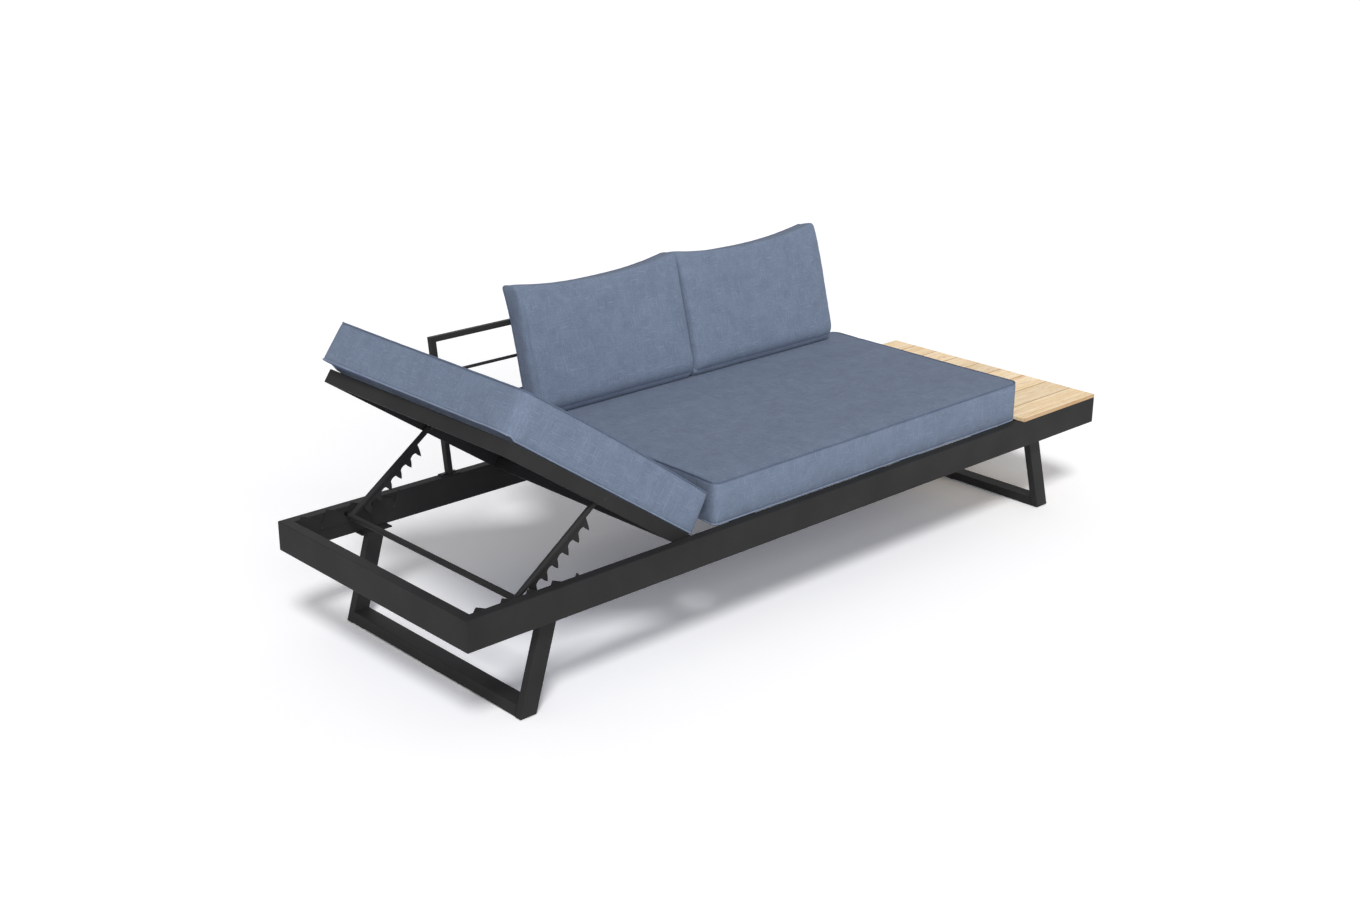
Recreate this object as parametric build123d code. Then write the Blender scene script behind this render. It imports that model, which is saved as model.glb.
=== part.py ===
from build123d import *
from math import acos, asin, atan2, cos, degrees, hypot, pi, radians, sin, sqrt, tan
import os

# Sun lounger: a low metal frame with a raised head panel, cushions and a plank side table.
# Lengths are in millimetres. X runs from the head end to the table end, Y from the front to
# the back and Z up from the floor. The pieces are made with the head end at X = 0 and the
# front at Y = 0, and are moved at the end so that the origin lies under the middle.

# Base frame
frame_length = 2390.0
frame_width = 800.0
rail_height = 80.0
rail_width = 30.0
rail_wall = 2.0
rail_edge_radius = 2.0
rail_top = 320.0

# Sled legs
leg_inset = 163.0
leg_lean = 70.0
post_width = 49.0
post_depth = 24.0
post_wall = 2.0
post_edge_radius = 2.5
post_row_gap = 1.0
foot_bar_height = 28.0
flange_thickness = 4.0
flange_margin = 22.0
flange_edge = 8.0
glide_thickness = 3.0
glide_length = 70.0
glide_edge = 4.0
leg_bolt_radius = 4.0
leg_bolt_head_radius = 7.0
leg_bolt_head_height = 3.5
leg_bolt_length = 16.0
leg_bolt_edge = 11.0
leg_bolt_setback = 19.0

# Beams and slats under the seat
beam_width = 30.0
beam_height = 40.0
beam_wall = 2.0
seat_beam_start_room = 145.0
seat_beam_end_room = 75.0
seat_beam_count = 3
slat_width = 40.0
slat_thickness = 12.0
slat_count = 6
slat_start_room = 25.0
slat_end_room = 7.0
slat_side_room = 30.0
seat_deck_drop = 3.0

# Side table
table_length = 355.0
plank_count = 9
plank_gap = 1.0
plank_thickness = 10.0
plank_edge_radius = 1.2
table_beam_inset = 2.0

# Head panel
panel_length = 683.0
panel_depth = 36.0
panel_rail_width = 15.0
panel_wall = 1.5
panel_edge_radius = 1.5
panel_side_room = 3.0
panel_end_room = 1.5
panel_drop = 7.0
lower_bar_place = 60.0
lower_bar_width = 20.0
lower_bar_height = 30.0
panel_slat_1_tip_room = 293.0
panel_slat_2_tip_room = 143.0
panel_slat_width = 30.0
panel_slat_thickness = 6.0

# Brackets that carry the lowered head panel
rest_side_room = 150.0
rest_length = 40.0
rest_reach = 18.0
rest_height = 25.0
rest_thickness = 3.0
rest_room = 0.3

# Hinge between the base frame and the head panel
hinge_bolt_radius = 4.0
hinge_head_radius = 7.0
hinge_head_height = 4.0
hinge_nut_radius = 6.5
hinge_nut_height = 6.0
hinge_bush_wall = 2.0
hinge_spacer_radius = 9.0
running_clearance = 0.05
side_play = 0.2
bolt_hole_room = 0.3

# Prop under the head panel
prop_pivot_tip_room = 344.6
prop_fold_room = 31.3
prop_fold_clearance = 1.0
prop_radius = 7.5
prop_bar_radius = 8.0
prop_wall = 1.5
prop_end_past_pivot = 10.0
prop_side_room = 1.0
prop_pin_radius = 5.0
prop_pin_plug_length = 12.0
prop_pin_room = 1.0
pivot_pin_radius = 4.0
pivot_nut_radius = 6.5
pivot_nut_height = 5.0
comb_thickness = 4.0
comb_start = 58.0
comb_end_room = 40.5
comb_tooth_count = 6
comb_root_depth = 22.0
comb_tip_depth = 42.0
comb_valley_depth = 18.5
comb_tip_reach = 13.0
comb_tooth_foot = 18.5
comb_side_swell = 1.5
comb_seat_depth = 5.0

# Racks on the inner faces of the long rails
rack_thickness = 2.5
rack_start_room = 5.5
rack_pitch = 73.5
rack_pocket_count = 4
rack_rest_pocket = 1
rack_height = 54.0
rack_tip_lead = 57.0
rack_tip_height = 9.0
rack_tip_radius = 3.0
rack_ridge_drop = 12.0
rack_seat_drop = 19.0
rack_pocket_room = 0.5
rack_end_margin = 14.0
rack_rivet_radius = 3.0
rack_rivet_head_height = 0.2

# Backrest at the rear rail
backrest_left = 512.0
backrest_height = 379.0
backrest_lean = 8.4
backrest_post_width = 15.0
backrest_post_depth = 20.0
backrest_wall = 1.5
backrest_edge_radius = 1.5
backrest_centre_inset = 15.0
backrest_rod_radius = 4.5
backrest_lower_rod_height = 180.0
backrest_upper_rod_height = 276.0
backrest_plate_length = 55.0
backrest_plate_thickness = 3.0
backrest_plate_edge = 1.0
backrest_bolt_radius = 2.5
backrest_bolt_head_radius = 4.5
backrest_bolt_head_height = 3.0
backrest_bolt_length = 8.0

# Cushions
cushion_rest_room = 0.3
cushion_side_swell = 4.0
cushion_draw_in = 5.0
cushion_roll = 12.0
cushion_station_shares = (0.08, 0.22, 0.36, 0.5, 0.64, 0.78, 0.92)
cushion_roll_shares = (0.0, 0.3, 1.0)
seat_cushion_side_room = 1.5
seat_cushion_hinge_room = 90.5
seat_cushion_table_room = 2.0
seat_cushion_thickness = 116.0
seat_cushion_crown = 7.0
panel_cushion_thickness = 113.0
panel_cushion_crown = 7.0
panel_cushion_side_room = 10.0
panel_cushion_overhang = 24.0
panel_cushion_tip_lift = 14.0
panel_cushion_lift_reach = 52.0
panel_cushion_heel_room = 8.0
panel_cushion_heel_slope = 17.0
back_cushion_hinge_room = 60.0
back_cushion_table_room = 92.0
back_cushion_gap = 2.0
back_cushion_lean = 15.0
back_cushion_thickness = 78.0
back_cushion_crown = 9.0
back_cushion_top_reach = 88.0
back_cushion_rise = 3.5

# What every cut runs past the piece that it cuts
overrun = 5.0

# Places that follow from the sizes above
rail_bottom = rail_top - rail_height
inner_front = rail_width
inner_rear = frame_width - rail_width
post_top = rail_bottom - flange_thickness
post_front = inner_front - post_row_gap
post_back = post_front + post_depth
deck_top = rail_top - seat_deck_drop
deck_bottom = deck_top - slat_thickness
half_depth = panel_depth / 2
panel_front = inner_front + panel_side_room
panel_rear = frame_width - panel_front
panel_inner_front = panel_front + panel_rail_width
panel_inner_rear = frame_width - panel_inner_front
hinge_x = rail_width + panel_end_room + panel_length
hinge_z = rail_top - panel_drop - half_depth
table_start = frame_length - table_length
table_beam_start = table_start + table_beam_inset
seat_cushion_start = hinge_x + seat_cushion_hinge_room
seat_cushion_end = table_start - seat_cushion_table_room
backrest_y = frame_width - backrest_centre_inset
backrest_right = frame_length - backrest_left
mid_length_plane = Plane.YZ.offset(frame_length / 2)
mid_width_plane = Plane.XZ.offset(-frame_width / 2)

# The prop is as long as lets its cross bar lie under the lowered panel, near the head rail
prop_pivot_place = panel_length - prop_pivot_tip_room
fold_reach = hinge_x - prop_pivot_place - rail_width - prop_fold_room
fold_drop = half_depth + prop_bar_radius + prop_fold_clearance
prop_length = hypot(fold_reach, fold_drop)
rack_start = rail_width + rack_start_room
first_pocket = rack_start + rack_end_margin + rack_tip_lead
rack_pockets = [first_pocket + rack_pitch * number for number in range(rack_pocket_count)]
rack_seat = rail_top - rack_seat_drop


def panel_angle_at(bar_x):
    """The head panel's angle when the prop's cross bar lies in the pocket at this X."""
    run, rise = hinge_x - bar_x, rack_seat - hinge_z
    reach = hypot(run, rise)
    share = (prop_pivot_place ** 2 + reach ** 2 - prop_length ** 2) / (2 * prop_pivot_place * reach)
    return degrees(acos(share) + atan2(rise, run))


def prop_angle_at(angle, bar_z):
    """The prop's angle below the level, for an angle of the panel and a height of the bar."""
    pivot_z = hinge_z + prop_pivot_place * sin(radians(angle))
    return degrees(asin((pivot_z - bar_z) / prop_length))


panel_angle = panel_angle_at(rack_pockets[rack_rest_pocket])
panel_highest_angle = panel_angle_at(rack_pockets[-1])
prop_angle = prop_angle_at(panel_angle, rack_seat)
prop_pivot = (hinge_x - prop_pivot_place * cos(radians(panel_angle)), 0,
              hinge_z + prop_pivot_place * sin(radians(panel_angle)))


def block(x, y, z):
    """A box between two X, two Y and two Z values."""
    size = Box(x[1] - x[0], y[1] - y[0], z[1] - z[0])
    return Pos((x[0] + x[1]) / 2, (y[0] + y[1]) / 2, (z[0] + z[1]) / 2) * size


def polygon(points):
    """A flat face with straight sides."""
    return make_face(Polyline(*points, close=True))


def side_prism(outline, y_from, y_to):
    """An outline drawn in X and Z, made solid between two Y values."""
    plane = Plane(origin=(0, y_to, 0), x_dir=(1, 0, 0), z_dir=(0, -1, 0))
    return extrude(plane * outline, amount=y_to - y_from)


def rod_along_y(x, z, y_from, y_to, radius):
    """A round rod along Y."""
    length = y_to - y_from
    return Pos(x, y_from + length / 2, z) * Rot(90, 0, 0) * Cylinder(radius, length)


def soften(solid, radius):
    """Rounds the long edges of a bar."""
    longest = max(edge.length for edge in solid.edges())
    return fillet([edge for edge in solid.edges() if edge.length > longest / 2], radius)


def cross_tube(x, z, y, wall, radius):
    """A box tube along Y, open at its ends, which stand against other pieces."""
    bore = block((x[0] + wall, x[1] - wall), y, (z[0] + wall, z[1] - wall))
    return soften(block(x, y, z), radius) - bore


def mitred_tube(length, width, depth, wall, radius, start_mitre=True):
    """A box tube along X, its outer side on Y = 0, with one or both ends cut at 45 degrees."""
    tube = soften(block((0, length), (0, width), (0, depth)), radius)
    tube -= block((0, length), (wall, width - wall), (wall, depth - wall))
    if start_mitre:
        tube -= extrude(polygon([(0, 0), (0, width), (width, width)]), amount=depth)
    wedge = polygon([(length, 0), (length, width), (length - width, width)])
    return tube - extrude(wedge, amount=depth)


def mirrored_pair(piece, plane):
    """A piece and its mirror image, as two solids of one node."""
    return Compound(children=[piece.solid(), mirror(piece, about=plane).solid()])


def group(pieces):
    """Separate solids that share a node."""
    return Compound(children=[solid for piece in pieces for solid in piece.solids()])


def hex_bolt(radius, head_radius, head_height, length):
    """A hexagon bolt along Z, its head below Z = 0 and its shank above."""
    head = extrude(RegularPolygon(head_radius, side_count=6), amount=-head_height)
    return head + Pos(0, 0, length / 2) * Cylinder(radius, length)


def base_rails():
    """The ring of four mitred rails, with the holes that its bolts pass through."""
    long_rail = mitred_tube(frame_length, rail_width, rail_height, rail_wall, rail_edge_radius)
    front = Pos(0, 0, rail_bottom) * long_rail
    hole_radius = hinge_bolt_radius + bolt_hole_room
    front -= rod_along_y(hinge_x, hinge_z, inner_front - rail_wall, inner_front, hole_radius)
    for x in leg_bolt_places():
        for place in (x, frame_length - x):
            hole = Cylinder(leg_bolt_radius + bolt_hole_room, rail_wall)
            front -= Pos(place, leg_bolt_setback, rail_bottom + rail_wall / 2) * hole
    rear = mirror(front, about=mid_width_plane)
    for x in backrest_bolt_places():
        hole = Cylinder(backrest_bolt_radius + bolt_hole_room, rail_wall)
        rear -= Pos(x, backrest_y, rail_top - rail_wall / 2) * hole
    short_rail = mitred_tube(frame_width, rail_width, rail_height, rail_wall, rail_edge_radius)
    head = Pos(0, frame_width, rail_bottom) * Rot(0, 0, -90) * short_rail
    return {
        "front_rail": front,
        "rear_rail": rear,
        "head_rail": head,
        "table_end_rail": mirror(head, about=mid_length_plane),
    }


def beams():
    """Cross tubes between the long rails: under the seat slats and under the table."""
    first = seat_cushion_start + seat_beam_start_room
    step = (table_start - seat_beam_end_room - first) / (seat_beam_count - 1)
    across = (inner_front, inner_rear)
    pieces = {}
    for number in range(seat_beam_count):
        middle = first + step * number
        pieces[f"seat_beam_{number + 1}"] = cross_tube(
            (middle - beam_width / 2, middle + beam_width / 2),
            (deck_bottom - beam_height, deck_bottom), across, beam_wall, rail_edge_radius)
    pieces["table_beam"] = cross_tube(
        (table_beam_start, table_beam_start + beam_width),
        (rail_top - beam_height, rail_top), across, beam_wall, rail_edge_radius)
    return pieces


def seat_slats():
    """Flat slats along X that lie on the seat beams."""
    along = (seat_cushion_start + slat_start_room, table_beam_start - slat_end_room)
    first = inner_front + slat_side_room
    step = (inner_rear - slat_side_room - slat_width - first) / (slat_count - 1)
    rows = [first + step * number for number in range(slat_count)]
    return group([
        soften(block(along, (y, y + slat_width), (deck_bottom, deck_top)), rail_edge_radius)
        for y in rows])


def table_planks():
    """Planks along X, side by side across the table end."""
    width = (frame_width - plank_gap * (plank_count - 1)) / plank_count
    pieces = {}
    for number in range(plank_count):
        start = number * (width + plank_gap)
        plank = block((table_start, frame_length), (start, start + width),
                      (rail_top, rail_top + plank_thickness))
        top_edges = plank.faces().sort_by(Axis.Z)[-1].edges()
        pieces[f"table_plank_{number + 1}"] = fillet(top_edges, plank_edge_radius)
    return pieces


def leg_edges(z, inset=0.0):
    """The two X values of a left leg's sides at a height."""
    outer = leg_inset + leg_lean * z / post_top
    return outer + inset, outer + post_width - inset


def leg_outline(z_from, z_to, inset=0.0):
    """A leaning stretch of a left leg, seen from the front."""
    low = leg_edges(z_from, inset)
    high = leg_edges(z_to, inset)
    return polygon([(low[0], z_from), (low[1], z_from), (high[1], z_to), (high[0], z_to)])


def leg_bolt_places():
    """The X values of a left leg's bolts, one on each side of the post."""
    low, high = leg_edges(post_top)
    return low - leg_bolt_edge, high + leg_bolt_edge


def legs():
    """The two sled legs, which lean outwards from the rails to the floor."""
    post = soften(side_prism(leg_outline(glide_thickness, post_top), post_front, post_back),
                  post_edge_radius)
    post -= side_prism(leg_outline(glide_thickness, post_top, post_wall),
                       post_front + post_wall, post_back - post_wall)
    bar_top = glide_thickness + foot_bar_height
    bar = soften(side_prism(leg_outline(glide_thickness, bar_top), post_back, frame_width - post_back),
                 post_edge_radius)
    bar -= side_prism(leg_outline(glide_thickness + post_wall, bar_top - post_wall, post_wall),
                      post_back, frame_width - post_back)
    low, high = leg_edges(post_top)
    flange = block((low - flange_margin, high + flange_margin), (flange_edge, post_back),
                   (post_top, rail_bottom))
    bolts = []
    for x in leg_bolt_places():
        hole = Cylinder(leg_bolt_radius + bolt_hole_room, flange_thickness)
        flange -= Pos(x, leg_bolt_setback, post_top + flange_thickness / 2) * hole
        bolt = hex_bolt(leg_bolt_radius, leg_bolt_head_radius, leg_bolt_head_height, leg_bolt_length)
        bolts.append(Pos(x, leg_bolt_setback, post_top) * bolt)
    foot = leg_edges(glide_thickness, glide_edge)
    glide_starts = (post_front + glide_edge, (frame_width - glide_length) / 2,
                    frame_width - post_front - glide_edge - glide_length)
    glides = [block(foot, (y, y + glide_length), (0, glide_thickness)) for y in glide_starts]

    pieces = {
        "left_leg_front_post": post,
        "left_leg_rear_post": mirror(post, about=mid_width_plane),
        "left_leg_foot_bar": bar,
        "left_leg_flanges": mirrored_pair(flange, mid_width_plane),
    }
    for name, piece in list(pieces.items()):
        pieces[name.replace("left", "right")] = mirror(piece, about=mid_length_plane)
    bolts += [mirror(bolt, about=mid_width_plane) for bolt in bolts]
    for name, few in (("leg_bolts", bolts), ("foot_glides", glides)):
        pieces[name] = group(few + [mirror(piece, about=mid_length_plane) for piece in few])
    return pieces


def racks():
    """A toothed plate on each long rail, with a pocket for each height, and its rivets."""
    pocket_radius = prop_pin_radius + rack_pocket_room
    tip = rail_top + rack_tip_height
    ridge = rail_top - rack_ridge_drop
    bottom = tip - rack_height
    last_tip = rack_pockets[-1] - rack_tip_lead + rack_pitch
    end = last_tip + rack_end_margin
    edges = [Line((rack_start, bottom), (rack_start, ridge))]
    corner = (rack_start, ridge)
    for x in rack_pockets:
        left, right = x - pocket_radius, x + pocket_radius
        stations = [corner, (x - rack_tip_lead, tip), (left, ridge), (left, rack_seat)]
        edges += [Line(a, b) for a, b in zip(stations, stations[1:])]
        edges.append(ThreePointArc((left, rack_seat), (x, rack_seat - pocket_radius), (right, rack_seat)))
        corner = (right, rack_seat)
    stations = [corner, (last_tip, tip), (end, ridge), (end, bottom), (rack_start, bottom)]
    edges += [Line(a, b) for a, b in zip(stations, stations[1:])]
    outline = make_face(edges)
    outline = fillet([corner for corner in outline.vertices() if corner.Y > rail_top], rack_tip_radius)
    plate = side_prism(outline, inner_front, inner_front + rack_thickness)
    rivets = []
    rivet_z = bottom + rack_end_margin / 2
    rivet_end = inner_front + rack_thickness + rack_rivet_head_height
    for x in (rack_pockets[0], rack_pockets[-1]):
        plate -= rod_along_y(x, rivet_z, inner_front, inner_front + rack_thickness, rack_rivet_radius)
        rivets.append(rod_along_y(x, rivet_z, inner_front, rivet_end, rack_rivet_radius))
    return {
        "front_rack": plate,
        "rear_rack": mirror(plate, about=mid_width_plane),
        "rack_rivets": group(rivets + [mirror(rivet, about=mid_width_plane) for rivet in rivets]),
    }


# The backrest stands on the rear rail and leans back from this place
backrest_place = Pos(0, backrest_y, rail_top) * Rot(-backrest_lean, 0, 0)


def backrest_post_middles():
    """The X values of the middles of the two backrest posts."""
    half = backrest_post_width / 2
    return backrest_left + half, backrest_right - half


def backrest_bolt_places():
    """The X values of the bolts beside the two backrest posts."""
    reach = (backrest_post_width + backrest_plate_length) / 4
    return [middle + side * reach for middle in backrest_post_middles() for side in (-1, 1)]


def backrest():
    """Two posts and a top rail, mitred, with thin rods between the posts."""
    half = backrest_post_depth / 2
    span = backrest_right - backrest_left
    sizes = (backrest_post_width, backrest_post_depth, backrest_wall, backrest_edge_radius)
    lying = Pos(backrest_left, -half, backrest_height) * Rot(-90, 0, 0)
    top_rail = backrest_place * lying * mitred_tube(span, *sizes)
    standing = Plane(origin=(backrest_left, -half, 0), x_dir=(0, 0, 1), z_dir=(0, 1, 0))
    left_post = backrest_place * (standing * mitred_tube(backrest_height, *sizes, start_mitre=False))
    plate_top = rail_top + backrest_plate_thickness
    left_post -= block((0, frame_length), (inner_rear - rail_width, frame_width + rail_width),
                       (rail_bottom, plate_top))
    plates = []
    for middle in backrest_post_middles():
        plate = block(
            (middle - backrest_plate_length / 2, middle + backrest_plate_length / 2),
            (inner_rear + backrest_plate_edge, frame_width - backrest_plate_edge),
            (rail_top, plate_top))
        for x in backrest_bolt_places():
            hole = Cylinder(backrest_bolt_radius + bolt_hole_room, backrest_plate_thickness)
            plate -= Pos(x, backrest_y, plate_top - backrest_plate_thickness / 2) * hole
        plates.append(plate)
    bolt = hex_bolt(backrest_bolt_radius, backrest_bolt_head_radius, backrest_bolt_head_height,
                    backrest_bolt_length)
    bolts = [Pos(x, backrest_y, plate_top) * Rot(180, 0, 0) * bolt for x in backrest_bolt_places()]
    rod = Rot(0, 90, 0) * Cylinder(backrest_rod_radius, span - 2 * backrest_post_width)
    rods = [backrest_place * Pos((backrest_left + backrest_right) / 2, 0, height) * rod
            for height in (backrest_lower_rod_height, backrest_upper_rod_height)]
    return {
        "backrest_left_post": left_post,
        "backrest_right_post": mirror(left_post, about=mid_length_plane),
        "backrest_top_rail": top_rail,
        "backrest_rods": group(rods),
        "backrest_plates": group(plates),
        "backrest_bolts": group(bolts),
    }


# The head panel is made flat, with its hinge at the origin and its tip towards -X
panel_place = Pos(hinge_x, 0, hinge_z) * Rot(0, panel_angle, 0)


def panel_side_rail():
    """The front side rail: round at the hinge and mitred at the tip, with its two holes."""
    def outline(depth):
        return make_face([
            Line((0, depth), (-panel_length, depth)),
            Line((-panel_length, depth), (-panel_length, -depth)),
            Line((-panel_length, -depth), (0, -depth)),
            ThreePointArc((0, -depth), (depth, 0), (0, depth))])

    rail = soften(side_prism(outline(half_depth), panel_front, panel_inner_front), panel_edge_radius)
    rail -= side_prism(outline(half_depth - panel_wall),
                       panel_front + panel_wall, panel_inner_front - panel_wall)
    wedge = polygon([(-panel_length, panel_front), (-panel_length, panel_inner_front),
                     (panel_rail_width - panel_length, panel_inner_front)])
    rail -= Pos(0, 0, -half_depth) * extrude(wedge, amount=panel_depth)
    rail -= rod_along_y(0, 0, panel_front, panel_inner_front, hinge_bolt_radius + hinge_bush_wall)
    return rail - rod_along_y(-prop_pivot_place, 0, panel_front, panel_inner_front, pivot_pin_radius)


def head_panel():
    """The frame that turns on the hinge: mitred rails, a lower bar and two slats."""
    side = panel_side_rail()
    tip = mitred_tube(panel_rear - panel_front, panel_rail_width, panel_depth, panel_wall,
                      panel_edge_radius)
    tip = Pos(-panel_length, panel_rear, -half_depth) * Rot(0, 0, -90) * tip
    across = (panel_inner_front, panel_inner_rear)
    lower_bar = cross_tube(
        (-lower_bar_place - lower_bar_width / 2, -lower_bar_place + lower_bar_width / 2),
        (-half_depth, lower_bar_height - half_depth), across, panel_wall, panel_edge_radius)
    bush = rod_along_y(0, 0, panel_front, panel_inner_front, hinge_bolt_radius + hinge_bush_wall)
    bush -= rod_along_y(0, 0, panel_front, panel_inner_front, hinge_bolt_radius + running_clearance)
    nut_start = prop_inner_side + side_play
    nut_end = nut_start + pivot_nut_height
    pin = rod_along_y(-prop_pivot_place, 0, panel_front, nut_end, pivot_pin_radius)
    nut = rod_along_y(-prop_pivot_place, 0, nut_start, nut_end, pivot_nut_radius)
    nut -= rod_along_y(-prop_pivot_place, 0, nut_start, nut_end, pivot_pin_radius)
    pieces = {
        "panel_front_rail": side,
        "panel_rear_rail": mirror(side, about=mid_width_plane),
        "panel_tip_rail": tip,
        "panel_lower_bar": lower_bar,
        "hinge_bushes": mirrored_pair(bush, mid_width_plane),
        "prop_pivot_pins": mirrored_pair(pin, mid_width_plane),
        "prop_pivot_nuts": mirrored_pair(nut, mid_width_plane),
    }
    for number, room in enumerate((panel_slat_1_tip_room, panel_slat_2_tip_room)):
        middle = room - panel_length
        pieces[f"panel_slat_{number + 1}"] = soften(block(
            (middle - panel_slat_width / 2, middle + panel_slat_width / 2), across,
            (half_depth - panel_slat_thickness, half_depth)), panel_edge_radius)
    return {name: panel_place * piece for name, piece in pieces.items()}


def panel_supports():
    """Bolts that the head panel turns on, and brackets that it lies on when it is lowered."""
    nut_end = inner_front - rail_wall
    nut_start = nut_end - hinge_nut_height
    bolt_end = panel_inner_front + side_play
    bolt = rod_along_y(hinge_x, hinge_z, nut_start, bolt_end, hinge_bolt_radius)
    bolt += rod_along_y(hinge_x, hinge_z, bolt_end, bolt_end + hinge_head_height, hinge_head_radius)
    nut = rod_along_y(hinge_x, hinge_z, nut_start, nut_end, hinge_nut_radius)
    nut -= rod_along_y(hinge_x, hinge_z, nut_start, nut_end, hinge_bolt_radius)
    spacer_end = panel_front - side_play
    spacer = rod_along_y(hinge_x, hinge_z, inner_front, spacer_end, hinge_spacer_radius)
    spacer -= rod_along_y(hinge_x, hinge_z, inner_front, spacer_end, hinge_bolt_radius)
    rest_top = hinge_z - half_depth - rest_room
    side = (rest_side_room, rest_side_room + rest_length)
    rest = block((rail_width, rail_width + rest_reach), side, (rest_top - rest_thickness, rest_top))
    rest += block((rail_width, rail_width + rest_thickness), side, (rest_top - rest_height, rest_top))
    return {
        "hinge_bolts": mirrored_pair(bolt, mid_width_plane),
        "hinge_nuts": mirrored_pair(nut, mid_width_plane),
        "hinge_spacers": mirrored_pair(spacer, mid_width_plane),
        "panel_rests": mirrored_pair(rest, mid_width_plane),
    }


# The prop is made flat, with its pivot at the origin and its cross bar towards -X
prop_outer_side = panel_inner_front + prop_side_room
prop_inner_side = prop_outer_side + 2 * prop_radius
prop_middle = prop_outer_side + prop_radius
prop_place = Pos(*prop_pivot) * Rot(0, -prop_angle, 0)


def comb():
    """The front comb: a plate under the strut with pointed teeth and round valleys."""
    span = prop_length - comb_start - comb_tooth_foot - comb_end_room
    pitch = span / (comb_tooth_count - 1)
    root, tip, seat = -comb_root_depth, -comb_tip_depth, -comb_seat_depth
    edges = []
    for number in range(comb_tooth_count):
        start = -comb_start - pitch * number
        point, foot = start - comb_tip_reach, start - comb_tooth_foot
        high = root if number else seat
        side = ((start + point) / 2 + comb_side_swell, (high + tip) / 2)
        hook = ((point + foot) / 2 - comb_side_swell, (root + tip) / 2)
        edges.append(ThreePointArc((start, high), side, (point, tip)))
        edges.append(ThreePointArc((point, tip), hook, (foot, root)))
        if number < comb_tooth_count - 1:
            valley = ((foot + start - pitch) / 2, -comb_valley_depth)
            edges.append(ThreePointArc((foot, root), valley, (start - pitch, root)))
    edges.append(Line((foot, root), (foot, seat)))
    edges.append(Line((foot, seat), (-comb_start, seat)))
    return side_prism(make_face(edges), prop_middle - comb_thickness / 2,
                      prop_middle + comb_thickness / 2)


def prop():
    """The U-shaped prop: two struts on the pivot pins, a cross bar and toothed combs."""
    tube_length = prop_length + prop_end_past_pivot
    middle = Pos((prop_end_past_pivot - prop_length) / 2, prop_middle, 0) * Rot(0, 90, 0)
    strut_solid = middle * Cylinder(prop_radius, tube_length)
    bar_start = prop_outer_side - side_play
    bar_solid = rod_along_y(-prop_length, 0, bar_start, frame_width - bar_start, prop_bar_radius)
    strut = strut_solid - middle * Cylinder(prop_radius - prop_wall, tube_length) - bar_solid
    strut -= rod_along_y(0, 0, prop_outer_side, prop_inner_side, pivot_pin_radius + running_clearance)
    bore_radius = prop_bar_radius - prop_wall
    bar = bar_solid - rod_along_y(-prop_length, 0, bar_start, frame_width - bar_start, bore_radius)
    pin_start = inner_front + rack_thickness + prop_pin_room
    pin = rod_along_y(-prop_length, 0, pin_start, bar_start, prop_pin_radius)
    pin += rod_along_y(-prop_length, 0, bar_start, bar_start + prop_pin_plug_length, bore_radius)
    comb_plate = comb() - strut_solid
    pieces = {
        "prop_front_strut": strut,
        "prop_rear_strut": mirror(strut, about=mid_width_plane),
        "prop_cross_bar": bar,
        "prop_front_comb": comb_plate,
        "prop_rear_comb": mirror(comb_plate, about=mid_width_plane),
        "prop_end_pins": mirrored_pair(pin, mid_width_plane),
    }
    return {name: prop_place * piece for name, piece in pieces.items()}


def cushion(length, width, thickness, crown):
    """A boxed cushion along X from 0, centred on Y, its flat underside on Z = 0.

    Its ends roll in, its sides swell and are drawn in between the corners, and its top is
    crowned. Each section is a line and three arcs, and the sections are joined by a loft.
    """
    starts = [share * cushion_roll for share in cushion_roll_shares]
    middles = [share * length for share in cushion_station_shares]
    ends = [length - start for start in reversed(starts)]
    sections = []
    for x in starts + middles + ends:
        from_end = min(x, length - x, cushion_roll)
        roll = cushion_roll - sqrt(cushion_roll ** 2 - (cushion_roll - from_end) ** 2)
        share = x / length
        half = width / 2 - cushion_side_swell - roll - cushion_draw_in * sin(pi * share)
        bulge = half + cushion_side_swell
        edge = thickness - roll
        top = edge + cushion_rest_room + crown * (1 - (2 * share - 1) ** 4)
        sections.append(Plane(origin=(x, 0, 0), x_dir=(0, 1, 0), z_dir=(1, 0, 0)) * make_face([
            Line((-half, 0), (half, 0)),
            ThreePointArc((half, 0), (bulge, edge / 2), (half, edge)),
            ThreePointArc((half, edge), (0, top), (-half, edge)),
            ThreePointArc((-half, edge), (-bulge, edge / 2), (-half, 0))]))
    return loft(sections, ruled=True)


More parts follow.
